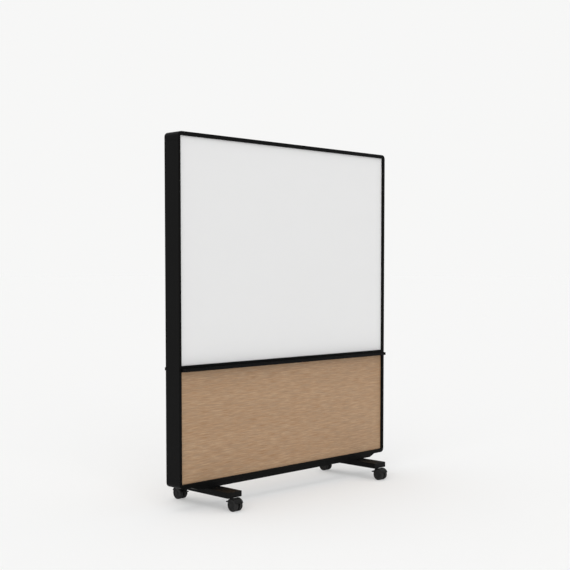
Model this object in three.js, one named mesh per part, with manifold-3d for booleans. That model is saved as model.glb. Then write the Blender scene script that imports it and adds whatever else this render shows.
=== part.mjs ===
// Rolling partition: a two-sided screen with a whiteboard bay over an oak bay, on two flat feet
// that stand on four braked twin-wheel casters.
// Millimetres, +Z up. The origin is on the floor under the middle of the screen, and -Y is the front.

import * as THREE from 'three';
import { mergeVertices } from 'three/addons/utils/BufferGeometryUtils.js';
import Module from 'manifold-3d';

const wasm = await Module();
wasm.setup();

// ---- Driving dimensions ----

const SEAT_GAP = 0.3; // between pieces that seat on, fit in or turn on each other
const SMALL_FACETS = 12; // round bolts, pins and holes
const MERGE_TOLERANCE = 1e-4; // between corners that are one corner

// Outer frame: tubes joined by four corner pieces
const SCREEN_WIDTH = 1500;
const SCREEN_HEIGHT = 1675;
const SCREEN_DEPTH = 100;
const STILE_WIDTH = 15;
const TOP_RAIL_HEIGHT = 18;
const BOTTOM_RAIL_HEIGHT = 19;
const FRAME_WALL = 2;
const CORNER_RADIUS = 22;
const CORNER_STEPS = 12;
const INNER_CORNER_RADIUS = 5;
const INNER_CORNER_STEPS = 5;
const CORNER_LEG = 40; // from the outer edge to the end of a corner piece's leg
const SPIGOT_LENGTH = 25;

// What the frame holds
const PANEL_RECESS = 11; // from the frame's face back to the panel's face
const PANEL_THICKNESS = 6;
const CORE_THICKNESS = 30;
const STUD_WIDTH = 30;
const OAK_BAY_HEIGHT = 534;
const MID_RAIL_HEIGHT = 29;
const MID_RAIL_WALL = 2.5;

// Pen trays, one on each side of the mid rail
const TRAY_REACH = 26; // beyond the frame's face
const TRAY_BASE_RISE = 2; // tray's underside above the mid rail's underside
const TRAY_LIP_HEIGHT = 15;
const TRAY_BACK_HEIGHT = 22;
const TRAY_WALL = 2;
const TRAY_CAP_THICKNESS = 2.5;
const TRAY_END_INSET = 1; // inside the stiles' inner faces

// Base beam under the screen
const BEAM_LENGTH = 1350; // along its top
const BEAM_DEPTH = 94;
const BEAM_HEIGHT = 17;
const BEAM_END_SLANT = 40;
const BEAM_WALL = 2.5;
const BEAM_END_WALL = 7.5; // along the slanted ends' top

// Feet, their end caps and their bolts
const FOOT_SPACING = 1076; // centre to centre
const FOOT_LENGTH = 404;
const FOOT_WIDTH = 88;
const FOOT_HEIGHT = 28;
const FOOT_WALL = 2.5;
const FOOT_CAP_THICKNESS = 3;
const FOOT_PLUG_LENGTH = 4;
const BOLT_SPACING = 50;
const BOLT_RADIUS = 4;
const BOLT_HEAD_RADIUS = 6.5;
const BOLT_HEAD_HEIGHT = 5;
const BOLT_END = 8; // of shank past the beam's lower wall
const BOLT_ACCESS_CLEARANCE = 1.5; // round the head, in the foot's underside

// Twin-wheel casters
const CASTER_INSET = 25; // swivel axis inside the end of the foot
const WHEEL_RADIUS = 30;
const WHEEL_WIDTH = 19.5;
const WHEEL_BEVEL = 1.6; // on the inner edge of the tread
const WHEEL_SHOULDER = 6; // round outer edge of the tread
const SHOULDER_STEPS = 3;
const WHEEL_RIM = 3; // band of rim round the dished face
const WHEEL_DISH = 2.2;
const WHEEL_HUB_RADIUS = 8;
const WHEEL_SIDE_GAP = 0.6; // from the hood's spine
const WHEEL_FACETS = 24;
const TRAIL = 25; // axle outside the swivel axis
const AXLE_RADIUS = 3;
const AXLE_BOSS_RADIUS = 7;
const AXLE_BOSS_ARC = [200, 370]; // degrees of it that the web shows
const AXLE_HOLD = 12; // of axle inside each wheel
const SPINE_WIDTH = 9;
const FENDER_GAP = 1;
const FENDER_WALL = 2;
const FENDER_START = 20; // degrees above the level, on the outer side
const FENDER_END = 150;
const FENDER_STEPS = 11;
const WEB_END = 125; // where the web leaves the fender for the boss
const WEB_STEPS = 7;
const BOSS_RADIUS = 10;
const BOSS_FACETS = 16;
const BOSS_LENGTH = 14;
const HOOD_TO_FOOT = 2; // top of the fender to the foot
const COLLAR_RADIUS = 9;
const COLLAR_HEIGHT = 5;
const STEM_RADIUS = 5;
const STEM_LENGTH = 21; // above the collar
const PIVOT_RADIUS = 3;
const PIVOT_LENGTH = 11; // below the collar

// Brake pedals, one on the inner side of each caster
const PEDAL_PIVOT_INSET = 12; // inside the swivel axis
const PEDAL_PIVOT_RISE = 10; // above the axle
const PEDAL_SWING = 18; // degrees, pressed down
const PEDAL_REACH = 13; // pivot to tip
const PEDAL_WIDTH = 26;
const PEDAL_THICKNESS = 4;
const PEDAL_TIP_RISE = 1.2; // tip's middle above the pivot
const CHEEK_WIDTH = 3.6;
const CHEEK_RADIUS = 5;
const LUG_RADIUS = 4.2;
const LUG_ARC = [70, 290]; // degrees of it past the web
const WEB_ROUND_STEPS = 6;
const TRUNNION_RADIUS = 2.5;
const BRAKE_GAP = 0.4; // shoe to tread when the pedal is down
const BRAKE_ANGLE = 169.5; // degrees round the axle where the shoe meets the tread

// ---- Levels and places worked out from them ----

const FOOT_BOTTOM = 2 * WHEEL_RADIUS + FENDER_GAP + FENDER_WALL + HOOD_TO_FOOT;
const FOOT_TOP = FOOT_BOTTOM + FOOT_HEIGHT;
const SCREEN_BOTTOM = FOOT_TOP + BEAM_HEIGHT;
const SCREEN_TOP = SCREEN_BOTTOM + SCREEN_HEIGHT;
const HALF_WIDTH = SCREEN_WIDTH / 2;
const HALF_DEPTH = SCREEN_DEPTH / 2;

const BAY_HALF_WIDTH = HALF_WIDTH - STILE_WIDTH;
const BAY_BOTTOM = SCREEN_BOTTOM + BOTTOM_RAIL_HEIGHT;
const BAY_TOP = SCREEN_TOP - TOP_RAIL_HEIGHT;
const MID_RAIL_BOTTOM = BAY_BOTTOM + OAK_BAY_HEIGHT;
const MID_RAIL_TOP = MID_RAIL_BOTTOM + MID_RAIL_HEIGHT;
const PANEL_FACE = HALF_DEPTH - PANEL_RECESS;
const PANEL_BACK = PANEL_FACE - PANEL_THICKNESS;

const FOOT_X = FOOT_SPACING / 2;
const SWIVEL_Y = FOOT_LENGTH / 2 - CASTER_INSET;
const COLLAR_TOP = FOOT_BOTTOM - SEAT_GAP;
const COLLAR_BOTTOM = COLLAR_TOP - COLLAR_HEIGHT;
const BOSS_TOP = COLLAR_BOTTOM - SEAT_GAP;
const WHEEL_INNER = SPINE_WIDTH / 2 + WHEEL_SIDE_GAP;
const WHEEL_OUTER = WHEEL_INNER + WHEEL_WIDTH;
const PEDAL_PIVOT = new THREE.Vector2(-PEDAL_PIVOT_INSET, WHEEL_RADIUS + PEDAL_PIVOT_RISE);
const SIDES = [{ word: 'left', sign: -1 }, { word: 'right', sign: 1 }];
const FACES = [{ word: 'front', sign: -1 }, { word: 'back', sign: 1 }];
const ENDS = [{ word: 'front', sign: -1 }, { word: 'rear', sign: 1 }];

// ---- Finishes ----

const finish = (color, roughness, metalness) =>
  new THREE.MeshStandardMaterial({ color, roughness, metalness, flatShading: true });

const frameBlack = finish(0x151515, 0.5, 0.2);
const footBlack = finish(0x1b1b1b, 0.5, 0.2);
const whiteEnamel = finish(0xf2f2f2, 0.15, 0);
const oak = finish(0xa3896b, 0.55, 0);
const plainTimber = finish(0xb79f7c, 0.8, 0);
const felt = finish(0x8a8a88, 0.95, 0);
const capBlack = finish(0x181818, 0.6, 0);
const zinc = finish(0xc4c6c8, 0.35, 0.9);
const hoodBlack = finish(0x161616, 0.45, 0);
const wheelGrey = finish(0x2b2b2b, 0.6, 0);

// ---- Solid helpers ----

const partition = new THREE.Group();

function add(name, geometry, material, parent = partition) {
  const mesh = new THREE.Mesh(geometry, material);
  mesh.name = name;
  parent.add(mesh);
  return mesh;
}

function box(xs, ys, zs) {
  const geometry = new THREE.BoxGeometry(xs[1] - xs[0], ys[1] - ys[0], zs[1] - zs[0]);
  return geometry.translate((xs[0] + xs[1]) / 2, (ys[0] + ys[1]) / 2, (zs[0] + zs[1]) / 2);
}

function prism(shape, low, high, basis) {
  const geometry = new THREE.ExtrudeGeometry(shape, { depth: high - low, bevelEnabled: false });
  return geometry.translate(0, 0, low).applyMatrix4(basis);
}

const X = new THREE.Vector3(1, 0, 0);
const Y = new THREE.Vector3(0, 1, 0);
const Z = new THREE.Vector3(0, 0, 1);

// An outline drawn in (y, z), (x, z) or (x, y), carried along the axis that is left
const alongX = (shape, low, high) => prism(shape, low, high, new THREE.Matrix4().makeBasis(Y, Z, X));
const alongY = (shape, low, high) =>
  prism(shape, -high, -low, new THREE.Matrix4().makeBasis(X, Z, Y.clone().negate()));
const alongZ = (shape, low, high) => prism(shape, low, high, new THREE.Matrix4());

function outline(points) {
  return new THREE.Shape(points.map(([u, v]) => new THREE.Vector2(u, v)));
}

function rectangle(us, vs) {
  return outline([[us[0], vs[0]], [us[1], vs[0]], [us[1], vs[1]], [us[0], vs[1]]]);
}

function tubeSection(us, vs, wall) {
  const section = rectangle(us, vs);
  section.holes.push(rectangle([us[0] + wall, us[1] - wall], [vs[0] + wall, vs[1] - wall]));
  return section;
}

function arc(centre, radius, from, to, steps) {
  const points = [];
  for (let i = 0; i <= steps; i += 1) {
    const angle = THREE.MathUtils.degToRad(from + ((to - from) * i) / steps);
    points.push([centre[0] + radius * Math.cos(angle), centre[1] + radius * Math.sin(angle)]);
  }
  return points;
}

function rodX(radius, xs, at, facets = SMALL_FACETS) {
  const rod = new THREE.CylinderGeometry(radius, radius, xs[1] - xs[0], facets);
  return rod.rotateZ(-Math.PI / 2).translate((xs[0] + xs[1]) / 2, at[0], at[1]);
}

function rodZ(radius, zs, at, facets = SMALL_FACETS) {
  const rod = new THREE.CylinderGeometry(radius, radius, zs[1] - zs[0], facets);
  return rod.rotateX(Math.PI / 2).translate(at[0], at[1], (zs[0] + zs[1]) / 2);
}

function turnedZ(profile, facets) {
  const points = profile.map(([r, z]) => new THREE.Vector2(r, z));
  return new THREE.LatheGeometry(points, facets).rotateX(Math.PI / 2);
}

function solid(geometry) {
  const bare = geometry.clone();
  bare.deleteAttribute('normal');
  bare.deleteAttribute('uv');
  const merged = mergeVertices(bare, MERGE_TOLERANCE);
  return new wasm.Manifold(new wasm.Mesh({
    numProp: 3,
    vertProperties: new Float32Array(merged.attributes.position.array),
    triVerts: new Uint32Array(merged.index.array),
  }));
}

function geometryOf(manifold) {
  const mesh = manifold.getMesh();
  const geometry = new THREE.BufferGeometry();
  geometry.setAttribute('position', new THREE.BufferAttribute(mesh.vertProperties, 3));
  geometry.setIndex(new THREE.BufferAttribute(mesh.triVerts, 1));
  geometry.computeVertexNormals();
  return geometry;
}

// The pieces joined, then cut by the tools
function carve(pieces, tools = []) {
  let body = solid(pieces[0]);
  for (const piece of pieces.slice(1)) body = body.add(solid(piece));
  for (const tool of tools) body = body.subtract(solid(tool));
  return geometryOf(body);
}

// ---- Outer frame ----

// Hollow upright at one side, open at both ends for the corner spigots
function stile(side) {
  const xs = [HALF_WIDTH - STILE_WIDTH, HALF_WIDTH].map((x) => x * side).sort((a, b) => a - b);
  const section = tubeSection(xs, [-HALF_DEPTH, HALF_DEPTH], FRAME_WALL);
  return alongZ(section, SCREEN_BOTTOM + CORNER_LEG + SEAT_GAP, SCREEN_TOP - CORNER_LEG - SEAT_GAP);
}

// Hollow rail along the top or the bottom, with its outer edge at z
function rail(outer, inner) {
  const zs = [outer, inner].sort((a, b) => a - b);
  const end = HALF_WIDTH - CORNER_LEG - SEAT_GAP;
  return alongX(tubeSection([-HALF_DEPTH, HALF_DEPTH], zs, FRAME_WALL), -end, end);
}

// Corner piece: an L with a round outer corner, and a spigot into each tube.
// It is drawn for an outer corner at (0, 0) with its legs along +u and +v, then turned into place.
function corner(sideX, sideZ, railHeight) {
  const place = ([u, v]) => [
    sideX * (HALF_WIDTH - u),
    sideZ > 0 ? SCREEN_TOP - v : SCREEN_BOTTOM + v,
  ];
  const fillet = INNER_CORNER_RADIUS;
  const body = [
    ...arc([CORNER_RADIUS, CORNER_RADIUS], CORNER_RADIUS, 180, 270, CORNER_STEPS),
    [CORNER_LEG, 0],
    [CORNER_LEG, railHeight],
    ...arc([STILE_WIDTH + fillet, railHeight + fillet], fillet, 270, 180, INNER_CORNER_STEPS),
    [STILE_WIDTH, CORNER_LEG],
    [0, CORNER_LEG],
  ];
  const inset = FRAME_WALL + SEAT_GAP;
  const root = CORNER_LEG - FRAME_WALL;
  const tip = CORNER_LEG + SPIGOT_LENGTH;
  const railSpigot = [[root, inset], [tip, inset], [tip, railHeight - inset], [root, railHeight - inset]];
  const stileSpigot = [[inset, root], [STILE_WIDTH - inset, root], [STILE_WIDTH - inset, tip], [inset, tip]];
  const spigotDepth = HALF_DEPTH - inset;
  const spigot = (points) => alongY(outline(points.map(place)), -spigotDepth, spigotDepth);
  return carve([
    alongY(outline(body.map(place)), -HALF_DEPTH, HALF_DEPTH),
    spigot(railSpigot),
    spigot(stileSpigot),
  ]);
}

for (const { word, sign } of SIDES) {
  add(`frame_stile_${word}`, stile(sign), frameBlack);
  add(`frame_corner_top_${word}`, corner(sign, 1, TOP_RAIL_HEIGHT), frameBlack);
  add(`frame_corner_bottom_${word}`, corner(sign, -1, BOTTOM_RAIL_HEIGHT), frameBlack);
}
add('frame_top_rail', rail(SCREEN_TOP, BAY_TOP), frameBlack);
add('frame_bottom_rail', rail(SCREEN_BOTTOM, BAY_BOTTOM), frameBlack);

// ---- Inner studs, cores and panels ----

// A board across the bay, with its lower or upper corners rounded to clear the frame's fillets
function bayBoard(zs, ys, roundBottom, roundTop) {
  const half = BAY_HALF_WIDTH - SEAT_GAP;
  const radius = INNER_CORNER_RADIUS;
  const roundCorner = (u, v, from) => arc([u, v], radius, from, from + 90, INNER_CORNER_STEPS);
  const points = [];
  if (roundBottom) {
    points.push(...roundCorner(-half + radius, zs[0] + radius, 180));
    points.push(...roundCorner(half - radius, zs[0] + radius, 270));
  } else points.push([-half, zs[0]], [half, zs[0]]);
  if (roundTop) {
    points.push(...roundCorner(half - radius, zs[1] - radius, 0));
    points.push(...roundCorner(-half + radius, zs[1] - radius, 90));
  } else points.push([half, zs[1]], [-half, zs[1]]);
  return alongY(outline(points), ys[0], ys[1]);
}

const studDepth = [-(PANEL_BACK - SEAT_GAP), PANEL_BACK - SEAT_GAP];
const lowerStudTop = BAY_BOTTOM + STUD_WIDTH;
const upperStudBottom = BAY_TOP - STUD_WIDTH;

add('inner_stud_bottom', bayBoard([BAY_BOTTOM + SEAT_GAP, lowerStudTop], studDepth, true, false), plainTimber);
add('inner_stud_top', bayBoard([upperStudBottom, BAY_TOP - SEAT_GAP], studDepth, false, true), plainTimber);
for (const { word, sign } of SIDES) {
  const xs = [BAY_HALF_WIDTH - STUD_WIDTH, BAY_HALF_WIDTH - SEAT_GAP];
  const placed = xs.map((x) => x * sign).sort((a, b) => a - b);
  const zs = [lowerStudTop + SEAT_GAP, upperStudBottom - SEAT_GAP];
  add(`inner_stud_${word}`, box(placed, studDepth, zs), plainTimber);
}

// Hollow rail between the bays, notched at both ends to pass the side studs
function midRail() {
  const end = BAY_HALF_WIDTH - SEAT_GAP;
  const section = tubeSection([-HALF_DEPTH, HALF_DEPTH], [MID_RAIL_BOTTOM, MID_RAIL_TOP], MID_RAIL_WALL);
  const notches = SIDES.map(({ sign }) => {
    const xs = [BAY_HALF_WIDTH - STUD_WIDTH - SEAT_GAP, HALF_WIDTH];
    return box(
      xs.map((x) => x * sign).sort((a, b) => a - b),
      [-PANEL_BACK, PANEL_BACK],
      [MID_RAIL_BOTTOM - STUD_WIDTH, MID_RAIL_TOP + STUD_WIDTH],
    );
  });
  return carve([alongX(section, -end, end)], notches);
}

add('mid_rail', midRail(), frameBlack);

function core(zs) {
  const half = BAY_HALF_WIDTH - STUD_WIDTH - SEAT_GAP;
  return box([-half, half], [-CORE_THICKNESS / 2, CORE_THICKNESS / 2], [zs[0] + SEAT_GAP, zs[1] - SEAT_GAP]);
}

add('acoustic_core_upper', core([MID_RAIL_TOP, upperStudBottom]), felt);
add('acoustic_core_lower', core([lowerStudTop, MID_RAIL_BOTTOM]), felt);

for (const { word, sign } of FACES) {
  const ys = [PANEL_BACK * sign, PANEL_FACE * sign].sort((a, b) => a - b);
  const upper = [MID_RAIL_TOP + SEAT_GAP, BAY_TOP - SEAT_GAP];
  const lower = [BAY_BOTTOM + SEAT_GAP, MID_RAIL_BOTTOM - SEAT_GAP];
  add(`whiteboard_${word}`, bayBoard(upper, ys, false, true), whiteEnamel);
  add(`oak_panel_${word}`, bayBoard(lower, ys, true, false), oak);
}

// ---- Pen trays ----

const trayBottom = MID_RAIL_BOTTOM + TRAY_BASE_RISE;
const trayBack = HALF_DEPTH + SEAT_GAP;
const trayFront = HALF_DEPTH + TRAY_REACH;
const trayEnd = BAY_HALF_WIDTH - TRAY_END_INSET;
const trayChannelEnd = trayEnd - TRAY_CAP_THICKNESS;

// Channel with a low front lip and a taller back flange that is fixed to the mid rail
function traySection(sign) {
  const lipTop = trayBottom + TRAY_LIP_HEIGHT;
  const flangeTop = trayBottom + TRAY_BACK_HEIGHT;
  const floorTop = trayBottom + TRAY_WALL;
  return outline([
    [trayBack, trayBottom], [trayFront, trayBottom], [trayFront, lipTop], [trayFront - TRAY_WALL, lipTop],
    [trayFront - TRAY_WALL, floorTop], [trayBack + TRAY_WALL, floorTop],
    [trayBack + TRAY_WALL, flangeTop], [trayBack, flangeTop],
  ].map(([y, z]) => [sign * y, z]));
}

for (const face of FACES) {
  const channelEnd = trayChannelEnd - SEAT_GAP;
  add(`pen_tray_${face.word}`, alongX(traySection(face.sign), -channelEnd, channelEnd), frameBlack);
  for (const side of SIDES) {
    const xs = [trayChannelEnd, trayEnd].map((x) => x * side.sign).sort((a, b) => a - b);
    const ys = [trayBack, trayFront].map((y) => y * face.sign).sort((a, b) => a - b);
    const cap = box(xs, ys, [trayBottom, trayBottom + TRAY_LIP_HEIGHT]);
    add(`pen_tray_cap_${face.word}_${side.word}`, cap, capBlack);
  }
}

// ---- Base beam, feet and bolts ----

const boltPlaces = ENDS.map(({ word, sign }) => ({ word, y: (sign * BOLT_SPACING) / 2 }));
const boltHole = BOLT_RADIUS + SEAT_GAP;

// Closed box beam with slanted ends, with bolt holes in its lower wall
function baseBeam() {
  const top = SCREEN_BOTTOM - SEAT_GAP;
  const half = BEAM_LENGTH / 2;
  const foot = half - BEAM_END_SLANT;
  const outer = outline([[-foot, FOOT_TOP], [foot, FOOT_TOP], [half, top], [-half, top]]);
  const inner = outline([
    [-foot + BEAM_WALL, FOOT_TOP + BEAM_WALL], [foot - BEAM_WALL, FOOT_TOP + BEAM_WALL],
    [half - BEAM_END_WALL, top - BEAM_WALL], [-half + BEAM_END_WALL, top - BEAM_WALL],
  ]);
  const cavityDepth = BEAM_DEPTH / 2 - BEAM_WALL;
  const holes = [];
  for (const side of SIDES) {
    for (const { y } of boltPlaces) {
      const zs = [FOOT_TOP - BEAM_WALL, FOOT_TOP + 2 * BEAM_WALL];
      holes.push(rodZ(boltHole, zs, [side.sign * FOOT_X, y]));
    }
  }
  return carve(
    [alongY(outer, -BEAM_DEPTH / 2, BEAM_DEPTH / 2)],
    [alongY(inner, -cavityDepth, cavityDepth), ...holes],
  );
}

add('base_beam', baseBeam(), footBlack);

const footTubeTop = FOOT_TOP - SEAT_GAP;
const footTubeEnd = FOOT_LENGTH / 2 - FOOT_CAP_THICKNESS - SEAT_GAP;

// Flat tube with stem holes below, bolt holes above, and access holes under the bolts
function foot(side) {
  const xs = [side * FOOT_X - FOOT_WIDTH / 2, side * FOOT_X + FOOT_WIDTH / 2];
  const tube = alongY(tubeSection(xs, [FOOT_BOTTOM, footTubeTop], FOOT_WALL), -footTubeEnd, footTubeEnd);
  const lowerWall = [FOOT_BOTTOM - FOOT_WALL, FOOT_BOTTOM + 2 * FOOT_WALL];
  const upperWall = [footTubeTop - 2 * FOOT_WALL, footTubeTop + FOOT_WALL];
  const holes = [];
  for (const { sign } of ENDS) {
    holes.push(rodZ(STEM_RADIUS + SEAT_GAP, lowerWall, [side * FOOT_X, sign * SWIVEL_Y]));
  }
  for (const { y } of boltPlaces) {
    holes.push(rodZ(BOLT_HEAD_RADIUS + BOLT_ACCESS_CLEARANCE, lowerWall, [side * FOOT_X, y]));
    holes.push(rodZ(boltHole, upperWall, [side * FOOT_X, y]));
  }
  return carve([tube], holes);
}

// Plate over the end of the foot, with a plug that fits inside the tube
function footCap(side, end) {
  const half = FOOT_WIDTH / 2;
  const inset = FOOT_WALL + SEAT_GAP;
  const plate = [footTubeEnd + SEAT_GAP, FOOT_LENGTH / 2];
  const plug = [plate[0] - FOOT_PLUG_LENGTH, FOOT_LENGTH / 2 - FOOT_CAP_THICKNESS / 2];
  const across = (margin) => [side * FOOT_X - half + margin, side * FOOT_X + half - margin];
  const along = (ys) => ys.map((y) => y * end).sort((a, b) => a - b);
  return carve([
    box(across(0), along(plate), [FOOT_BOTTOM, footTubeTop]),
    box(across(inset), along(plug), [FOOT_BOTTOM + inset, footTubeTop - inset]),
  ]);
}

// Screw from inside the foot up into the beam
function footBolt() {
  const seat = footTubeTop - FOOT_WALL - SEAT_GAP;
  const head = seat - BOLT_HEAD_HEIGHT;
  const tip = FOOT_TOP + BEAM_WALL + BOLT_END;
  return turnedZ([
    [0, head], [BOLT_HEAD_RADIUS, head], [BOLT_HEAD_RADIUS, seat],
    [BOLT_RADIUS, seat], [BOLT_RADIUS, tip], [0, tip],
  ], SMALL_FACETS);
}

for (const side of SIDES) {
  add(`foot_${side.word}`, foot(side.sign), footBlack);
  for (const end of ENDS) {
    add(`foot_cap_${side.word}_${end.word}`, footCap(side.sign, end.sign), capBlack);
  }
  for (const { word, y } of boltPlaces) {
    add(`foot_bolt_${side.word}_${word}`, footBolt(), zinc).position.set(side.sign * FOOT_X, y, 0);
  }
}

// ---- Casters ----
// Each is drawn about its swivel axis with the axle out along +Y, and turned to face outwards.

// Threaded stem, swivel collar and the pivot that the hood turns on, in one turned piece
function casterStem() {
  const bottom = COLLAR_BOTTOM - PIVOT_LENGTH;
  return turnedZ([
    [0, bottom], [PIVOT_RADIUS, bottom], [PIVOT_RADIUS, COLLAR_BOTTOM],
    [COLLAR_RADIUS, COLLAR_BOTTOM], [COLLAR_RADIUS, COLLAR_TOP], [STEM_RADIUS, COLLAR_TOP],
    [STEM_RADIUS, COLLAR_TOP + STEM_LENGTH], [0, COLLAR_TOP + STEM_LENGTH],
  ], SMALL_FACETS);
}

// Web between the wheels, from the fender down to the axle and in to the pedal's lug
function spineOutline() {
  const axle = [TRAIL, WHEEL_RADIUS];
  const middle = WHEEL_RADIUS + FENDER_GAP + FENDER_WALL / 2;
  const lug = [PEDAL_PIVOT.x, PEDAL_PIVOT.y];
  return outline([
    ...arc(axle, middle, FENDER_START, WEB_END, WEB_STEPS),
    [-BOSS_RADIUS + SEAT_GAP, BOSS_TOP - BOSS_LENGTH],
    ...arc(lug, LUG_RADIUS, ...LUG_ARC, WEB_ROUND_STEPS),
    ...arc(axle, AXLE_BOSS_RADIUS, ...AXLE_BOSS_ARC, WEB_ROUND_STEPS),
  ]);
}

function fenderOutline() {
  const axle = [TRAIL, WHEEL_RADIUS];
  const inner = WHEEL_RADIUS + FENDER_GAP;
  return outline([
    ...arc(axle, inner + FENDER_WALL, FENDER_START, FENDER_END, FENDER_STEPS),
    ...arc(axle, inner, FENDER_END, FENDER_START, FENDER_STEPS),
  ]);
}

function casterHood() {
  const half = SPINE_WIDTH / 2;
  const axle = [TRAIL, WHEEL_RADIUS];
  const cavityRadius = WHEEL_RADIUS + FENDER_GAP;
  const trunnion = half + CHEEK_WIDTH + 2 * SEAT_GAP;
  const cavities = SIDES.map(({ sign }) => {
    const xs = [half * sign, 2 * WHEEL_OUTER * sign].sort((a, b) => a - b);
    return rodX(cavityRadius, xs, axle, WHEEL_FACETS);
  });
  const bore = PIVOT_RADIUS + SEAT_GAP;
  return carve([
    alongX(fenderOutline(), -WHEEL_OUTER, WHEEL_OUTER),
    alongX(spineOutline(), -half, half),
    rodZ(BOSS_RADIUS, [BOSS_TOP - BOSS_LENGTH, BOSS_TOP], [0, 0], BOSS_FACETS),
    rodX(TRUNNION_RADIUS, [-trunnion, trunnion], [PEDAL_PIVOT.x, PEDAL_PIVOT.y]),
  ], [
    ...cavities,
    rodZ(bore, [COLLAR_BOTTOM - PIVOT_LENGTH - SEAT_GAP, BOSS_TOP + COLLAR_HEIGHT], [0, 0]),
    rodX(AXLE_RADIUS + SEAT_GAP, [-SPINE_WIDTH, SPINE_WIDTH], axle),
  ]);
}

// Wheel with a blind axle bore, a round outer shoulder, a dished outer face and a low hub.
// Its flats stand on the floor.
function casterWheel(side) {
  const bore = AXLE_RADIUS + SEAT_GAP;
  const tread = WHEEL_RADIUS / Math.cos(Math.PI / WHEEL_FACETS);
  const dish = WHEEL_WIDTH - WHEEL_DISH;
  const faceRadius = tread - WHEEL_SHOULDER;
  const rim = faceRadius - WHEEL_RIM;
  const profile = [
    [0, AXLE_HOLD + SEAT_GAP], [bore, AXLE_HOLD + SEAT_GAP], [bore, 0],
    [tread - WHEEL_BEVEL, 0], [tread, WHEEL_BEVEL],
    ...arc([faceRadius, WHEEL_WIDTH - WHEEL_SHOULDER], WHEEL_SHOULDER, 0, 90, SHOULDER_STEPS),
    [rim, WHEEL_WIDTH], [rim - WHEEL_DISH / 2, dish], [WHEEL_HUB_RADIUS + WHEEL_DISH / 2, dish],
    [WHEEL_HUB_RADIUS, WHEEL_WIDTH], [0, WHEEL_WIDTH],
  ].map(([r, h]) => new THREE.Vector2(r, h));
  const wheel = new THREE.LatheGeometry(profile, WHEEL_FACETS, Math.PI / WHEEL_FACETS);
  return wheel.rotateZ((-side * Math.PI) / 2).translate(side * WHEEL_INNER, TRAIL, WHEEL_RADIUS);
}

// Fork round the hood's lug with a tread plate, and a nose that meets the wheels when it is pressed
function brakePedal() {
  const { x: pivotY, y: pivotZ } = PEDAL_PIVOT;
  const inner = SPINE_WIDTH / 2 + SEAT_GAP;
  const nose = new THREE.Vector2(TRAIL + WHEEL_RADIUS + BRAKE_GAP, WHEEL_RADIUS)
    .rotateAround(new THREE.Vector2(TRAIL, WHEEL_RADIUS), THREE.MathUtils.degToRad(BRAKE_ANGLE))
    .rotateAround(PEDAL_PIVOT, -THREE.MathUtils.degToRad(PEDAL_SWING));
  const tip = [pivotY - PEDAL_REACH, pivotZ + PEDAL_TIP_RISE];
  const plateRoot = pivotY - CHEEK_RADIUS + SEAT_GAP / 2;
  const plate = outline([
    [plateRoot, pivotZ - PEDAL_THICKNESS / 2], [tip[0], tip[1] - PEDAL_THICKNESS / 2],
    [tip[0], tip[1] + PEDAL_THICKNESS / 2], [plateRoot, pivotZ + PEDAL_THICKNESS],
  ]);
  const arm = outline([
    [pivotY, pivotZ - PEDAL_THICKNESS], [tip[0] + PEDAL_THICKNESS, tip[1] - PEDAL_THICKNESS / 2],
    [tip[0] + PEDAL_THICKNESS, tip[1]], [pivotY, pivotZ + CHEEK_RADIUS - SEAT_GAP],
  ]);
  const shoe = outline([
    [pivotY, pivotZ - CHEEK_RADIUS + SEAT_GAP], [nose.x, nose.y], [pivotY + CHEEK_RADIUS - SEAT_GAP, pivotZ],
  ]);
  const pieces = [alongX(plate, -PEDAL_WIDTH / 2, PEDAL_WIDTH / 2)];
  for (const { sign } of SIDES) {
    const xs = [inner, inner + CHEEK_WIDTH].map((x) => x * sign).sort((a, b) => a - b);
    pieces.push(rodX(CHEEK_RADIUS, xs, [pivotY, pivotZ]), alongX(arm, ...xs), alongX(shoe, ...xs));
  }
  const through = inner + CHEEK_WIDTH + SEAT_GAP;
  const hole = rodX(TRUNNION_RADIUS + SEAT_GAP, [-through, through], [pivotY, pivotZ]);
  return carve(pieces, [hole]);
}

function caster(name, side, end) {
  const group = new THREE.Group();
  group.position.set(side * FOOT_X, end * SWIVEL_Y, 0);
  group.rotation.z = end < 0 ? Math.PI : 0;
  const halfAxle = WHEEL_INNER + AXLE_HOLD;
  add(`${name}_stem`, casterStem(), zinc, group);
  add(`${name}_hood`, casterHood(), hoodBlack, group);
  add(`${name}_axle`, rodX(AXLE_RADIUS, [-halfAxle, halfAxle], [TRAIL, WHEEL_RADIUS]), zinc, group);
  add(`${name}_pedal`, brakePedal(), hoodBlack, group);
  for (const wheelSide of SIDES) {
    add(`${name}_wheel_${wheelSide.word}`, casterWheel(wheelSide.sign * end), wheelGrey, group);
  }
  partition.add(group);
}

for (const end of ENDS) {
  for (const side of SIDES) caster(`caster_${end.word}_${side.word}`, side.sign, end.sign);
}

export default partition;
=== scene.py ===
# Rolling partition: a whiteboard over an oak panel on both faces of a black frame, on two flat
# feet with twin-wheel casters. Metres, +Z up, with the origin on the floor under the middle.
import math

import bmesh
import bpy
from mathutils import Matrix, Vector


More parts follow.
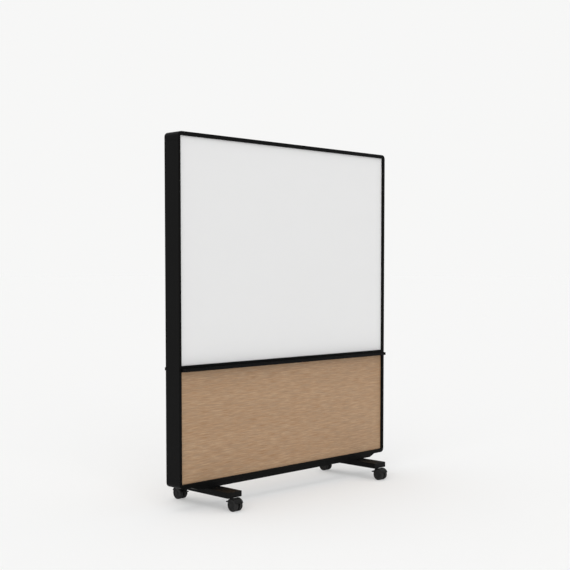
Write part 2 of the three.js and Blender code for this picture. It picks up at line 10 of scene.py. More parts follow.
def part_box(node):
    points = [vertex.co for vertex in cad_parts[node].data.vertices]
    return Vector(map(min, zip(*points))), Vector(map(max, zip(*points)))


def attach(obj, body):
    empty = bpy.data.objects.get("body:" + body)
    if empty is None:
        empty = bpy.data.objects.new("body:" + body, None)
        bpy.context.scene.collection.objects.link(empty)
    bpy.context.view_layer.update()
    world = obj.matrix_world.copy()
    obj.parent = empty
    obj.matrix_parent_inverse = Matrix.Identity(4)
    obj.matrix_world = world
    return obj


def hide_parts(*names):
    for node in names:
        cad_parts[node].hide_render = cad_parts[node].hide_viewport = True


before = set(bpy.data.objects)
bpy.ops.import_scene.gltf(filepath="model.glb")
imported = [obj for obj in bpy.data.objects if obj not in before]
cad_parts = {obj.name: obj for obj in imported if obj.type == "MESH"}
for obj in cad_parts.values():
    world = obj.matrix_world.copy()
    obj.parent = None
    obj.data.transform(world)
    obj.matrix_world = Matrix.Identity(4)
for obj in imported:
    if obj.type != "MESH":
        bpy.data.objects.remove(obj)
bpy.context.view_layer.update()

# ---- Camera ----
# It stands where the photograph was taken from: in front and to the left, a little over a metre
# above the floor, with its lens raised to keep the uprights nearly straight.
CAMERA_PLACE = (-3.928, -3.882, 1.138)
CAMERA_YAW = 0.7917
CAMERA_DOWN = 0.0525
IMAGE_SIDE = 570
FOCAL_PIXELS = 1065.2
HORIZON_SHIFT = 0.0734
SENSOR = 36.0

camera_data = bpy.data.cameras.new("camera")
camera_data.sensor_width = SENSOR
camera_data.lens = FOCAL_PIXELS / IMAGE_SIDE * SENSOR
camera_data.shift_y = HORIZON_SHIFT
camera = bpy.data.objects.new("camera", camera_data)
camera.location = CAMERA_PLACE
camera.rotation_euler = (math.pi / 2 - CAMERA_DOWN, 0, -CAMERA_YAW)
bpy.context.scene.collection.objects.link(camera)
bpy.context.scene.camera = camera

# ---- Outer frame ----
# Black powder-coated tubes on edge, 100 mm deep, with a cast corner piece plugged into each end.
# The edges are lightly broken, so a thin line of light runs along them.
EDGE_BREAK = 0.0008
EDGE_SEGMENTS = 2
MERGE_DISTANCE = 2e-5
FLAT_WITHIN = math.radians(1)  # faces nearer than this to one plane become one face
BREAK_ABOVE = math.radians(30)  # edges sharper than this are broken
FACE_WEIGHT = 100  # how much a face's size counts in its corners, so that large ones shade flat
POWDER_BLACK = (0.0020, 0.0020, 0.0020)
POWDER_GLOSS = 0.065
POWDER_ROUGHNESS = 0.5
POWDER_SHADES = (0.85, 1.2)  # darkest and lightest patches, as shares of the colour
POWDER_WEAR = (-0.04, 0.05)  # polished and dulled patches, added to the roughness
POWDER_GRAIN = 1400.0
POWDER_PATCHES = 6.0
TONE_SPAN = (0.35, 0.65)  # the part of a noise's range that a strong change follows
SOFT_SPAN = (0.3, 0.7)  # the part that a softer change follows


class Wire:
    """An output of a finish's nodes, which sums and products turn into further nodes."""

    def __init__(self, tree, socket=None):
        self.tree = tree
        self.socket = socket

    def node(self, kind, settings=None, inputs=None, output=0):
        made = self.tree.nodes.new("ShaderNode" + kind)
        for key, value in (settings or {}).items():
            setattr(made, key, value)
        for key, value in (inputs or {}).items():
            if isinstance(value, Wire):
                self.tree.links.new(value.socket, made.inputs[key])
            elif isinstance(value, tuple) and made.inputs[key].type == "RGBA":
                made.inputs[key].default_value = (*value, 1.0)
            else:
                made.inputs[key].default_value = value
        return Wire(self.tree, made.outputs[output])

    def combined(self, operation, first, second):
        return self.node("Math", {"operation": operation}, {0: first, 1: second})

    def __add__(self, other):
        return self.combined("ADD", self, other)

    def __radd__(self, other):
        return self.combined("ADD", other, self)

    def __sub__(self, other):
        return self.combined("SUBTRACT", self, other)

    def __rsub__(self, other):
        return self.combined("SUBTRACT", other, self)

    def __mul__(self, other):
        return self.combined("MULTIPLY", self, other)

    def __rmul__(self, other):
        return self.combined("MULTIPLY", other, self)

    def limited(self, low, high, to_low=0.0, to_high=1.0):
        places = {"Value": self, "From Min": low, "From Max": high, "To Min": to_low, "To Max": to_high}
        return self.node("MapRange", {"clamp": True}, places)

    def mixed(self, first, second):
        """Colour that goes from first to second as this value goes from 0 to 1."""
        places = {"Factor": self, 6: first, 7: second}
        return self.node("Mix", {"data_type": "RGBA"}, places, output=2)


def new_finish(name):
    """A bare material, and the piece's own coordinates as the start of its nodes."""
    material = bpy.data.materials.new(name)
    material.use_nodes = True
    return material, Wire(material.node_tree).node("TexCoord", output="Object")


def dress(material, fixed, varying):
    """Sets the shader's plain values, and links what changes over the surface."""
    shader = material.node_tree.nodes["Principled BSDF"]
    for key, value in fixed.items():
        shader.inputs[key].default_value = value
    for key, wire in varying.items():
        material.node_tree.links.new(wire.socket, shader.inputs[key])


def noise(place, scale, detail=2.0, roughness=0.5):
    places = {"Vector": place, "Scale": scale, "Detail": detail, "Roughness": roughness}
    return place.node("TexNoise", None, places)


def raised(height, strength, distance):
    """A bump that follows the height."""
    return height.node("Bump", None, {"Strength": strength, "Distance": distance, "Height": height})


def shades(colour, shares):
    """The colour at two strengths."""
    return [tuple(share * c for c in colour) for share in shares]


def powder_coat(name, colour):
    """Matt black powder: a fine orange peel, with slow changes of tone and dulled patches."""
    material, place = new_finish(name)
    peel = noise(place, POWDER_GRAIN, detail=1.0)
    patches = noise(place, POWDER_PATCHES, detail=3.0)
    tone = patches.limited(*TONE_SPAN).mixed(*shades(colour, POWDER_SHADES))
    dull = patches.limited(*SOFT_SPAN, *(POWDER_ROUGHNESS + wear for wear in POWDER_WEAR))
    bump = raised(peel, strength=0.12, distance=0.0004)
    dress(
        material,
        {"Specular IOR Level": POWDER_GLOSS},
        {"Base Color": tone, "Roughness": dull, "Normal": bump},
    )
    return material


def piece_from(name, node, edge, material, segments=EDGE_SEGMENTS):
    """A CAD solid made one clean piece with broken edges, in its place."""
    shape = bmesh.new()
    shape.from_mesh(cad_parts[node].data)
    bmesh.ops.remove_doubles(shape, verts=shape.verts, dist=MERGE_DISTANCE)
    bmesh.ops.dissolve_limit(shape, angle_limit=FLAT_WITHIN, verts=shape.verts, edges=shape.edges)
    return finish_piece(name, shape, edge, material, "frame", [node], segments)


def finish_piece(name, shape, edge, material, body, nodes, segments=EDGE_SEGMENTS):
    """Makes the piece's object, breaks its edges, and puts it in place of the CAD nodes."""
    mesh = bpy.data.meshes.new(name)
    shape.to_mesh(mesh)
    shape.free()
    for face in mesh.polygons:
        face.use_smooth = True
    piece = bpy.data.objects.new(name, mesh)
    bpy.context.scene.collection.objects.link(piece)
    piece.data.materials.append(material)
    if edge:
        bevel = piece.modifiers.new("edges", "BEVEL")
        bevel.width = edge
        bevel.segments = segments
        bevel.limit_method = "ANGLE"
        bevel.angle_limit = BREAK_ABOVE
        shading = piece.modifiers.new("flat_faces", "WEIGHTED_NORMAL")
        shading.mode = "FACE_AREA"
        shading.weight = FACE_WEIGHT
    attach(piece, body)
    if nodes:
        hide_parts(*nodes)
    return piece


frame_powder = powder_coat("frame_powder_coat", POWDER_BLACK)
SIDES = ("left", "right")
frame_nodes = ["frame_top_rail", "frame_bottom_rail"]
for side in SIDES:
    frame_nodes += [f"frame_stile_{side}", f"frame_corner_top_{side}", f"frame_corner_bottom_{side}"]
for node in frame_nodes:
    piece_from(node + "_coated", node, EDGE_BREAK, frame_powder)

# ---- Inner studs and cores ----
# Softwood battens and pressed fibre slabs that fill the frame between the two skins. They show
# only when the screen is taken apart.
TIMBER = ((0.40, 0.27, 0.15), (0.55, 0.40, 0.25))
FELT = ((0.20, 0.20, 0.19), (0.32, 0.32, 0.31))


def plain_finish(name, colours, scale, roughness):
    """Two tones mottled over a dull surface."""
    material, place = new_finish(name)
    mottle = noise(place, scale, detail=4.0)
    bump = raised(mottle, strength=0.2, distance=0.001)
    tone = mottle.limited(*TONE_SPAN).mixed(*colours)
    dress(material, {"Roughness": roughness}, {"Base Color": tone, "Normal": bump})
    return material


def cover(node, material):
    """Gives its finish to a CAD solid that is shown as it is."""
    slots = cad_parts[node].data.materials
    slots.clear()
    slots.append(material)


timber = plain_finish("softwood", TIMBER, scale=60.0, roughness=0.8)
fibre = plain_finish("pressed_fibre", FELT, scale=300.0, roughness=0.95)
for node, material in (
    *((f"inner_stud_{place}", timber) for place in ("top", "bottom", *SIDES)),
    *((f"acoustic_core_{place}", fibre) for place in ("upper", "lower")),
):
    cover(node, material)

# ---- Whiteboards ----
# A smooth white writing sheet on each face of the upper bay. It is set back in the frame, with a
# soft gloss, and carries the faint haze that wiping leaves.
WHITE = ((0.812, 0.812, 0.812), (0.818, 0.818, 0.819))
BOARD_EDGE = 0.0006
BOARD_GLOSS = 0.18
BOARD_ROUGHNESS = (0.4, 0.43)
HAZE_STRETCH = (1.0, 1.0, 2.2)  # wider than it is high, as wiping from side to side leaves it
HAZE_SCALE = 3.0
RIPPLE_SCALE = 14.0
FACES = ("front", "back")


def stretched(place, scale, offset=(0.0, 0.0, 0.0)):
    """The piece's coordinates, scaled apart in each direction."""
    return place.node("Mapping", None, {"Vector": place, "Location": offset, "Scale": scale})


def writing_surface():
    material, place = new_finish("writing_surface")
    haze = noise(stretched(place, HAZE_STRETCH), HAZE_SCALE, detail=5.0, roughness=0.6)
    ripple = noise(place, RIPPLE_SCALE, detail=1.0)
    tone = haze.limited(*SOFT_SPAN).mixed(*WHITE)
    dull = haze.limited(*SOFT_SPAN, *BOARD_ROUGHNESS)
    bump = raised(ripple, strength=0.02, distance=0.0006)
    dress(
        material,
        {"Specular IOR Level": BOARD_GLOSS},
        {"Base Color": tone, "Roughness": dull, "Normal": bump},
    )
    return material


white_sheet = writing_surface()
for face in FACES:
    board = piece_from(f"writing_board_{face}", f"whiteboard_{face}", BOARD_EDGE, white_sheet)

# ---- Oak panels ----
# Light oak veneer with its grain along the width, under a matt lacquer, on each face of the
# lower bay. It shows short straight streaks, some of them greyer, with broad slow bands of
# tone behind them and fine dark pores.
OAK_PALE = (0.505, 0.343, 0.212)
OAK_BROWN = (0.360, 0.205, 0.104)
OAK_GREY = (0.330, 0.227, 0.146)
OAK_PORE = (0.240, 0.140, 0.074)
OAK_GLOSS = 0.3
OAK_ROUGHNESS = (0.48, 0.6)
STREAK_STRETCH = (8.0, 1.0, 135.0)  # far finer across the grain than along it
STREAK_SPAN = (0.37, 0.63)
STREAK_SHARE = 0.85
BAND_STRETCH = (0.7, 1.0, 6.0)
BAND_SHARE = 0.15
GREY_STRETCH = (10.0, 1.0, 175.0)
GREY_OFFSET = (7.0, 3.0, 5.0)  # so that the greyer streaks don't follow the others
GREY_SPAN = (0.45, 0.62)
GREY_SHARE = 0.6
PORE_STRETCH = (9.0, 1.0, 420.0)
PORE_SPAN = (0.55, 0.72)
PORE_SHARE = 0.6
PORE_DEPTH = 0.6


def oak_veneer():
    material, place = new_finish("oak_veneer")
    streaks = noise(stretched(place, STREAK_STRETCH), scale=1.6, detail=5.0, roughness=0.6)
    greyer = noise(stretched(place, GREY_STRETCH, GREY_OFFSET), scale=1.5, detail=4.0, roughness=0.65)
    bands = noise(stretched(place, BAND_STRETCH), scale=1.2)
    pores = noise(stretched(place, PORE_STRETCH), scale=2.0, detail=3.0, roughness=0.6)
    open_pores = pores.limited(*PORE_SPAN)
    figure = streaks * STREAK_SHARE + bands * BAND_SHARE
    warm = figure.limited(*STREAK_SPAN).mixed(OAK_BROWN, OAK_PALE)
    tone = (greyer.limited(*GREY_SPAN) * GREY_SHARE).mixed(warm, OAK_GREY)
    grained = (open_pores * PORE_SHARE).mixed(tone, OAK_PORE)
    dull = streaks.limited(*SOFT_SPAN, *OAK_ROUGHNESS)
    bump = raised(streaks - open_pores * PORE_DEPTH, strength=0.2, distance=0.0004)
    dress(
        material,
        {"Specular IOR Level": OAK_GLOSS},
        {"Base Color": grained, "Roughness": dull, "Normal": bump},
    )
    return material


oak = oak_veneer()
for face in FACES:
    panel = piece_from(f"oak_veneer_panel_{face}", f"oak_panel_{face}", BOARD_EDGE, oak)

# ---- Mid rail and pen trays ----
# A hollow rail crosses the frame between the bays, and a folded channel is screwed to each face
# of it for pens. Moulded caps close the channel's ends.
TRAY_EDGE = 0.0006
CAP_SEGMENTS = 3
CAP_BLACK = (0.004, 0.004, 0.004)
MOULD_GRAIN = 900.0
MOULD_PATCHES = 25.0
MOULD_SHADES = (0.85, 1.15)  # darkest and lightest patches, as shares of the colour
MOULD_WEAR = (-0.04, 0.06)  # polished and dulled patches, added to the roughness


def moulded(name, colour, roughness, gloss, grain=MOULD_GRAIN):
    """Fine spark-eroded texture of moulded nylon."""
    material, place = new_finish(name)
    texture = noise(place, grain)
    patches = noise(place, MOULD_PATCHES)
    tone = patches.limited(*SOFT_SPAN).mixed(*shades(colour, MOULD_SHADES))
    dull = patches.limited(*SOFT_SPAN, *(roughness + wear for wear in MOULD_WEAR))
    bump = raised(texture, strength=0.1, distance=0.0004)
    dress(
        material,
        {"Specular IOR Level": gloss},
        {"Base Color": tone, "Roughness": dull, "Normal": bump},
    )
    return material


cap_plastic = moulded("cap_plastic", CAP_BLACK, roughness=0.5, gloss=0.09)
piece_from("mid_rail_coated", "mid_rail", TRAY_EDGE, frame_powder)
for face in FACES:
    tray = piece_from(f"pen_tray_{face}_coated", f"pen_tray_{face}", TRAY_EDGE, frame_powder)
    for side in SIDES:
        cap_node = f"pen_tray_cap_{face}_{side}"
        cap = piece_from(cap_node + "_moulded", cap_node, TRAY_EDGE, cap_plastic, CAP_SEGMENTS)

# ---- Base beam, feet, end caps and bolts ----
# A box beam with slanted ends under the screen sits across two flat tubes, which are the feet.
# Bolts go up through them, and moulded caps close their ends.
FOOT_BLACK = (0.0030, 0.0030, 0.0030)
FOOT_EDGE = 0.0015
ENDS = ("front", "rear")

foot_powder = powder_coat("foot_powder_coat", FOOT_BLACK)
piece_from("base_beam_coated", "base_beam", FOOT_EDGE, foot_powder)
for side in SIDES:
    foot = piece_from(f"foot_{side}_coated", f"foot_{side}", FOOT_EDGE, foot_powder)
    for end in ENDS:
        cap_node = f"foot_cap_{side}_{end}"
        cap = piece_from(cap_node + "_moulded", cap_node, FOOT_EDGE, cap_plastic, CAP_SEGMENTS)

# ---- Casters ----
# Twin-wheel furniture casters: a zinc stem and swivel collar, a moulded hood with a fender over
# the tops of both wheels, a steel axle, and a brake pedal forked round a lug on the inner side.
# Each is drawn about its swivel axis with the axle out along +Y, then turned to face outwards.
HOOD_BLACK = (0.006, 0.006, 0.006)
TREAD_GREY = (0.019, 0.019, 0.019)
HUB_BLACK = (0.012, 0.012, 0.012)
TREAD_GRAIN = 1800.0
ZINC = ((0.62, 0.63, 0.65), (0.78, 0.79, 0.80))
ZINC_CLOUDS = 160.0
ZINC_ROUGHNESS = (0.24, 0.36)
WHEEL_STEPS = 72
TREAD_THICKNESS = 0.0045
TREAD_SHOULDER = 0.006
TREAD_INNER_ROUND = 0.0016
SHOULDER_STEPS = 8
HUB_FACE = 0.0004  # inside the tyre's face
HUB_DISH = 0.0022
HUB_BOSS = 0.0080
HUB_BOSS_ROUND = 0.0010
AXLE_BORE = 0.0033
BORE_DEPTH = 0.0123
CAP_RADIUS = 0.0042
CAP_DROP = 0.0005
HUB_RIBS = 6
HUB_RIB_WIDTH = 0.0016
HUB_RIB_DEPTH = 0.0018
SPINE = 0.009
FENDER_GAP = 0.001
FENDER_WALL = 0.002
FENDER_ANGLES = (20.0, 150.0)
FENDER_STEPS = 44
WEB_END = 125.0
BOSS_RADIUS = 0.010
BOSS_LENGTH = 0.014
BOSS_SHOWN = 0.0068  # of the boss above the fender's inner face
LUG_RADIUS = 0.0042
LUG_ARC = (70.0, 290.0)
AXLE_BOSS = 0.007
AXLE_BOSS_ARC = (200.0, 370.0)
TRUNNION_RADIUS = 0.0025
CHEEK_RADIUS = 0.005
CHEEK = 0.0036
PIVOT_INSET = 0.012
PIVOT_RISE = 0.010
PLATE_THICKNESS = 0.004
PLATE_TIP_RISE = 0.0012
PLATE_RIBS = 3
RIB = 0.0006
RIB_SHORT = 0.0015
RIB_LEAD = 0.7  # spaces before the first rib
RIB_SPARE = 0.6  # spaces that the plate has beyond one for each rib
COLLAR_RADIUS = 0.009
COLLAR_HEIGHT = 0.005
COLLAR_ROLL = 0.0012
STEM_RADIUS = 0.005
STEM_CHAMFER = 0.0008
PIN_RADIUS = 0.003
FIT_GAP = 0.0003
HOOD_EDGE = 0.0005
HUB_EDGE = 0.0002
CENTRE = 1e-5  # radius of the points that close on an axis
SEAM_DISTANCE = 1e-6
ROD_FACETS = 40
RIB_FACETS = 12
BOSS_FACETS = 56


def ring_points(centre, radius, first, last, steps):
    """Points round a centre, from one angle in degrees to another."""
    angles = [math.radians(first + (last - first) * i / steps) for i in range(steps + 1)]
    return [(centre[0] + radius * math.cos(a), centre[1] + radius * math.sin(a)) for a in angles]


def turned(shape, profile, centre, axis, steps):
    """Spins a closed (radius, height) outline fully round an axis through centre."""
    across = Vector((0, 1, 0)) if axis.x else Vector((1, 0, 0))
    made = [shape.verts.new(centre + across * r + axis * h) for r, h in profile]
    loop = [shape.edges.new((made[i], made[(i + 1) % len(made)])) for i in range(len(made))]
    bmesh.ops.spin(
        shape, geom=made + loop, cent=centre, axis=axis, angle=math.tau, steps=steps, use_merge=True
    )


def slab(shape, points, low, high):
    """A flat plate between two x places, from its (y, z) outline."""
    face = shape.faces.new([shape.verts.new((low, y, z)) for y, z in points])
    grown = bmesh.ops.extrude_face_region(shape, geom=[face])
    moved = [part for part in grown["geom"] if isinstance(part, bmesh.types.BMVert)]
    bmesh.ops.translate(shape, verts=moved, vec=(high - low, 0, 0))


def rod(shape, radius, centre, length, turn, segments=ROD_FACETS):
    bmesh.ops.create_cone(
        shape, cap_ends=True, segments=segments, radius1=radius, radius2=radius, depth=length,
        matrix=Matrix.Translation(centre) @ turn,
    )


UPRIGHT = Matrix.Identity(4)
ACROSS = Matrix.Rotation(math.pi / 2, 4, "Y")


def sound(shape):
    """Closes the seams that spinning leaves and points every face outwards."""
    bmesh.ops.remove_doubles(shape, verts=shape.verts, dist=SEAM_DISTANCE)
    bmesh.ops.recalc_face_normals(shape, faces=shape.faces)
    return shape


def tread_shape(radius, width, inner, side, axle):
    """Soft tyre with a broad round shoulder on its outer side and a small one on its inner side."""
    bottom = radius - TREAD_THICKNESS
    face = radius - TREAD_SHOULDER
    small = TREAD_INNER_ROUND
    profile = [(bottom, 0.0)]
    profile += ring_points((radius - small, small), small, -90, 0, SHOULDER_STEPS)
    profile += ring_points((face, width - TREAD_SHOULDER), TREAD_SHOULDER, 0, 90, SHOULDER_STEPS)
    profile += [(face - TREAD_INNER_ROUND, width), (face - TREAD_INNER_ROUND, width - 2 * HUB_DISH)]
    profile.append((bottom, width - TREAD_SHOULDER))
    shape = bmesh.new()
    turned(shape, profile, Vector((side * inner, *axle)), Vector((side, 0, 0)), WHEEL_STEPS)
    return sound(shape)


def hub_shape(radius, width, inner, side, axle):
    """Moulded wheel centre: dished outside, with a raised boss and radial ribs."""
    rim = radius - TREAD_SHOULDER - TREAD_INNER_ROUND
    core = radius - TREAD_THICKNESS
    lip = rim - HUB_RIB_WIDTH
    dish = width - HUB_DISH
    profile = [
        (CENTRE, BORE_DEPTH), (AXLE_BORE, BORE_DEPTH), (AXLE_BORE, HUB_EDGE), (core, HUB_EDGE),
        (core, width - TREAD_SHOULDER), (rim, width - 2 * HUB_DISH), (rim, width - HUB_FACE),
        (lip, width - HUB_FACE), (lip - HUB_BOSS_ROUND, dish), (HUB_BOSS + HUB_BOSS_ROUND, dish),
        (HUB_BOSS, width - HUB_EDGE), (HUB_BOSS - HUB_BOSS_ROUND, width), (CAP_RADIUS, width),
        (CAP_RADIUS - CAP_DROP, width - CAP_DROP), (CENTRE, width - CAP_DROP),
    ]
    shape = bmesh.new()
    centre = Vector((side * inner, *axle))
    turned(shape, profile, centre, Vector((side, 0, 0)), WHEEL_STEPS)
    face = Matrix.Translation(centre + Vector((side * (dish + FIT_GAP), 0, 0)))
    reach = Matrix.Translation((0, (HUB_BOSS + lip) / 2, 0))
    size = Matrix.Diagonal((HUB_RIB_DEPTH, lip - HUB_BOSS, HUB_RIB_WIDTH, 1.0))
    for rib in range(HUB_RIBS):
        turn = Matrix.Rotation(math.tau * rib / HUB_RIBS, 4, "X")
        bmesh.ops.create_cube(shape, size=1.0, matrix=face @ turn @ reach @ size)
    return sound(shape)


def hood_shape(radius, wheel_outer, axle, boss_top, pivot):
    """Fender over both wheels, with a web, a swivel boss, a pedal lug and its trunnions."""
    shape = bmesh.new()
    inner = radius + FENDER_GAP
    outer = inner + FENDER_WALL
    first, last = FENDER_ANGLES
    fender = ring_points(axle, outer, first, last, FENDER_STEPS)
    fender += ring_points(axle, inner, last, first, FENDER_STEPS)
    slab(shape, fender, -wheel_outer, wheel_outer)
    web = ring_points(axle, (inner + outer) / 2, first, WEB_END, FENDER_STEPS)
    web.append((-BOSS_RADIUS + FIT_GAP, boss_top - BOSS_LENGTH))
    web += ring_points(pivot, LUG_RADIUS, *LUG_ARC, SHOULDER_STEPS)
    web += ring_points(axle, AXLE_BOSS, *AXLE_BOSS_ARC, SHOULDER_STEPS)
    slab(shape, web, -SPINE / 2, SPINE / 2)
    rod(shape, TRUNNION_RADIUS, (0, *pivot), SPINE + 2 * CHEEK + 4 * FIT_GAP, ACROSS)
    rod(shape, BOSS_RADIUS, (0, 0, boss_top - BOSS_SHOWN / 2), BOSS_SHOWN, UPRIGHT, BOSS_FACETS)
    return sound(shape)


def pedal_shape(pivot, tip, nose, width):
    """Fork round the lug, with a ribbed tread plate and a nose towards the wheels."""
    shape = bmesh.new()
    pivot_y, pivot_z = pivot
    inner = SPINE / 2 + FIT_GAP
    half = PLATE_THICKNESS / 2
    root = pivot_y - CHEEK_RADIUS + FIT_GAP / 2
    tip_z = pivot_z + PLATE_TIP_RISE
    root_top = pivot_z + PLATE_THICKNESS
    tip_top = tip_z + half
    slab(
        shape, [(root, pivot_z - half), (tip, tip_z - half), (tip, tip_top), (root, root_top)],
        -width / 2, width / 2,
    )
    for rib in range(PLATE_RIBS):
        along = (rib + RIB_LEAD) / (PLATE_RIBS + RIB_SPARE)
        place = (0, tip + (root - tip) * along, tip_top + (root_top - tip_top) * along)
        rod(shape, RIB, place, width - 2 * RIB_SHORT, ACROSS, RIB_FACETS)
    arm = [
        (pivot_y, pivot_z - PLATE_THICKNESS), (tip + PLATE_THICKNESS, tip_z - half),
        (tip + PLATE_THICKNESS, tip_z), (pivot_y, pivot_z + CHEEK_RADIUS - FIT_GAP),
    ]
    shoe = [
        (pivot_y, pivot_z - CHEEK_RADIUS + FIT_GAP), nose, (pivot_y + CHEEK_RADIUS - FIT_GAP, pivot_z),
    ]
    for side in (-1, 1):
        ends = sorted((side * inner, side * (inner + CHEEK)))
        rod(shape, CHEEK_RADIUS, (sum(ends) / 2, *pivot), CHEEK, ACROSS)
        slab(shape, arm, *ends)
        slab(shape, shoe, *ends)
    return sound(shape)


def stem_shape(low, high, collar_top):
    """Stem, swivel collar with a rolled edge, and the pin below it that the hood turns on."""
    collar_bottom = collar_top - COLLAR_HEIGHT
    profile = [(CENTRE, low), (PIN_RADIUS, low), (PIN_RADIUS, collar_bottom)]
    rolled = COLLAR_RADIUS - COLLAR_ROLL
    profile += ring_points((rolled, collar_bottom + COLLAR_ROLL), COLLAR_ROLL, -90, 0, SHOULDER_STEPS)
    profile += ring_points((rolled, collar_top - COLLAR_ROLL), COLLAR_ROLL, 0, 90, SHOULDER_STEPS)
    profile += [
        (STEM_RADIUS, collar_top), (STEM_RADIUS, high - STEM_CHAMFER),
        (STEM_RADIUS - STEM_CHAMFER, high), (CENTRE, high),
    ]
    shape = bmesh.new()
    turned(shape, profile, Vector((0, 0, 0)), Vector((0, 0, 1)), WHEEL_STEPS)
    return sound(shape)


def zinc_plate():
    """Bright zinc with faint cloudy streaks."""
    material, place = new_finish("zinc_plate")
    cloud = noise(place, ZINC_CLOUDS, detail=3.0)
    tone = cloud.limited(*SOFT_SPAN).mixed(*ZINC)
    dull = cloud.limited(*SOFT_SPAN, *ZINC_ROUGHNESS)
    bump = raised(cloud, strength=0.05, distance=0.0003)
    dress(material, {"Metallic": 1.0}, {"Base Color": tone, "Roughness": dull, "Normal": bump})
    return material


hood_plastic = moulded("hood_plastic", HOOD_BLACK, roughness=0.45, gloss=0.12)
tread_rubber = moulded("tread_rubber", TREAD_GREY, roughness=0.62, gloss=0.16, grain=TREAD_GRAIN)
hub_plastic = moulded("hub_plastic", HUB_BLACK, roughness=0.5, gloss=0.16)
zinc = zinc_plate()


def caster(name, end):
    """Every piece of one caster, drawn at its own swivel axis and put where the frame has it."""
    stem_low, stem_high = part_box(f"{name}_stem")
    wheel_low, wheel_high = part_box(f"{name}_wheel_left")
    pedal_low, pedal_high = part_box(f"{name}_pedal")
    hood_low, hood_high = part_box(f"{name}_hood")
    foot_low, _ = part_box("foot_left")
    swivel = (stem_low + stem_high) / 2
    facing = 1 if end == "rear" else -1
    turn = Matrix.Rotation(0 if facing > 0 else math.pi, 4, "Z")
    place = Matrix.Translation((swivel.x, swivel.y, 0)) @ turn

    radius = (wheel_high.z - wheel_low.z) / 2
    axle = (abs((wheel_low.y + wheel_high.y) / 2 - swivel.y), (wheel_low.z + wheel_high.z) / 2)
    outer = (hood_high.x - hood_low.x) / 2
    width = wheel_high.x - wheel_low.x
    collar_top = foot_low.z - FIT_GAP
    boss_top = collar_top - COLLAR_HEIGHT - FIT_GAP
    pivot = (-PIVOT_INSET, axle[1] + PIVOT_RISE)
    tip, nose_reach = sorted(facing * (edge - swivel.y) for edge in (pedal_low.y, pedal_high.y))

    def put(piece_name, shape, edge, material, body, nodes):
        shape.transform(place)
        finish_piece(piece_name, shape, edge, material, body, nodes)

    stem = stem_shape(stem_low.z, stem_high.z, collar_top)
    put(f"{name}_stem_turned", stem, 0, zinc, "frame", [f"{name}_stem"])
    hood = hood_shape(radius, outer, axle, boss_top, pivot)
    put(f"{name}_hood_moulded", hood, HOOD_EDGE, hood_plastic, name, [f"{name}_hood"])
    body = f"{name}_pedal"
    pedal = pedal_shape(pivot, tip, (nose_reach, pedal_low.z), pedal_high.x - pedal_low.x)
    put(f"{body}_moulded", pedal, HOOD_EDGE / 2, hood_plastic, body, [body])
    for side in SIDES:
        wheel = f"{name}_wheel_{side}"
        sign = facing * (1 if side == "right" else -1)
        sizes = (radius, width, outer - width, sign, axle)
        put(f"{wheel}_tread", tread_shape(*sizes), 0, tread_rubber, wheel, [wheel])
        put(f"{wheel}_hub", hub_shape(*sizes), HUB_EDGE, hub_plastic, wheel, [])
    cover(f"{name}_axle", zinc)


for end in ENDS:
    for side in SIDES:
        caster(f"caster_{end}_{side}", end)
        cover(f"foot_bolt_{side}_{end}", zinc)

# ---- Floor, backdrop and light ----
# A pale seamless floor, an even white surround, a soft light from above and a soft light from
# over the camera's shoulder. Floor and surround come out at the same near-white.
FLOOR_SIDE = 400.0
BACKDROP = (0.930, 0.930, 0.925)
FLOOR_LIFT = 0.35  # share of the floor's own tone that the camera sees in its shadows
SURROUND = 0.52
TOP_LIGHT = 0.26
TOP_LIGHT_TILT = math.radians(12.0)  # from behind the screen
FRONT_LIGHT = 0.40
FRONT_LIGHT_HEIGHT = math.radians(30.0)
FRONT_LIGHT_SIDE = math.radians(-45.0)
SOFT_ANGLE = math.radians(70.0)

open_floor = (
    SURROUND + TOP_LIGHT * math.cos(TOP_LIGHT_TILT) + FRONT_LIGHT * math.sin(FRONT_LIGHT_HEIGHT)
)


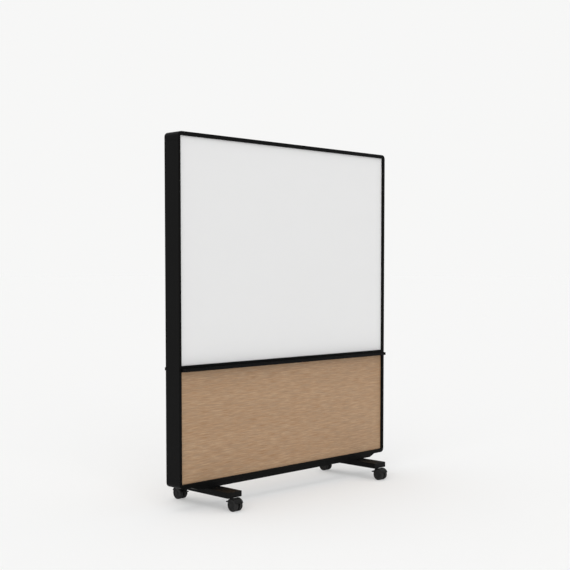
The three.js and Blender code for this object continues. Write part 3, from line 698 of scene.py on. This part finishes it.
def seen_ray(start):
    """1 for the rays that the camera, a polished surface or glass sends out, 0 for the rest."""
    camera_ray = start.node("LightPath", output="Is Camera Ray")
    glossy_ray = start.node("LightPath", output="Is Glossy Ray")
    clear_ray = start.node("LightPath", output="Is Transmission Ray")
    return (camera_ray + glossy_ray + clear_ray).limited(0.0, 1.0)


floor_colour = tuple(min(1.0, c / open_floor) for c in BACKDROP)
floor_finish = bpy.data.materials.new("seamless_floor")
floor_finish.use_nodes = True
floor_nodes = floor_finish.node_tree.nodes
floor_nodes.remove(floor_nodes["Principled BSDF"])
floor_start = Wire(floor_finish.node_tree)
floor_matt = floor_start.node("BsdfDiffuse", None, {"Color": floor_colour})
floor_glow = floor_start.node("Emission", None, {"Color": BACKDROP})
lift = seen_ray(floor_start) * FLOOR_LIFT
floor_seen = floor_start.node("MixShader", None, {0: lift, 1: floor_matt, 2: floor_glow})
floor_finish.node_tree.links.new(floor_seen.socket, floor_nodes["Material Output"].inputs["Surface"])

floor_shape = bmesh.new()
bmesh.ops.create_grid(floor_shape, x_segments=1, y_segments=1, size=FLOOR_SIDE / 2)
floor_mesh = bpy.data.meshes.new("floor")
floor_shape.to_mesh(floor_mesh)
floor_shape.free()
floor_mesh.materials.append(floor_finish)
floor = bpy.data.objects.new("floor", floor_mesh)
bpy.context.scene.collection.objects.link(floor)

surround = bpy.data.worlds.new("surround")
surround.use_nodes = True
bpy.context.scene.world = surround
seen = Wire(surround.node_tree)
light_tone = seen_ray(seen).mixed((SURROUND, SURROUND, SURROUND), BACKDROP)
background = surround.node_tree.nodes["Background"]
surround.node_tree.links.new(light_tone.socket, background.inputs["Color"])
background.inputs["Strength"].default_value = 1.0


def soft_sun(name, level, turn):
    data = bpy.data.lights.new(name, "SUN")
    data.energy = level * math.pi
    data.angle = SOFT_ANGLE
    lamp = bpy.data.objects.new(name, data)
    lamp.rotation_euler = turn
    bpy.context.scene.collection.objects.link(lamp)


soft_sun("top_light", TOP_LIGHT, (-TOP_LIGHT_TILT, 0, 0))
soft_sun("front_light", FRONT_LIGHT, (math.pi / 2 - FRONT_LIGHT_HEIGHT, 0, FRONT_LIGHT_SIDE))

bpy.context.scene.view_settings.view_transform = "Standard"
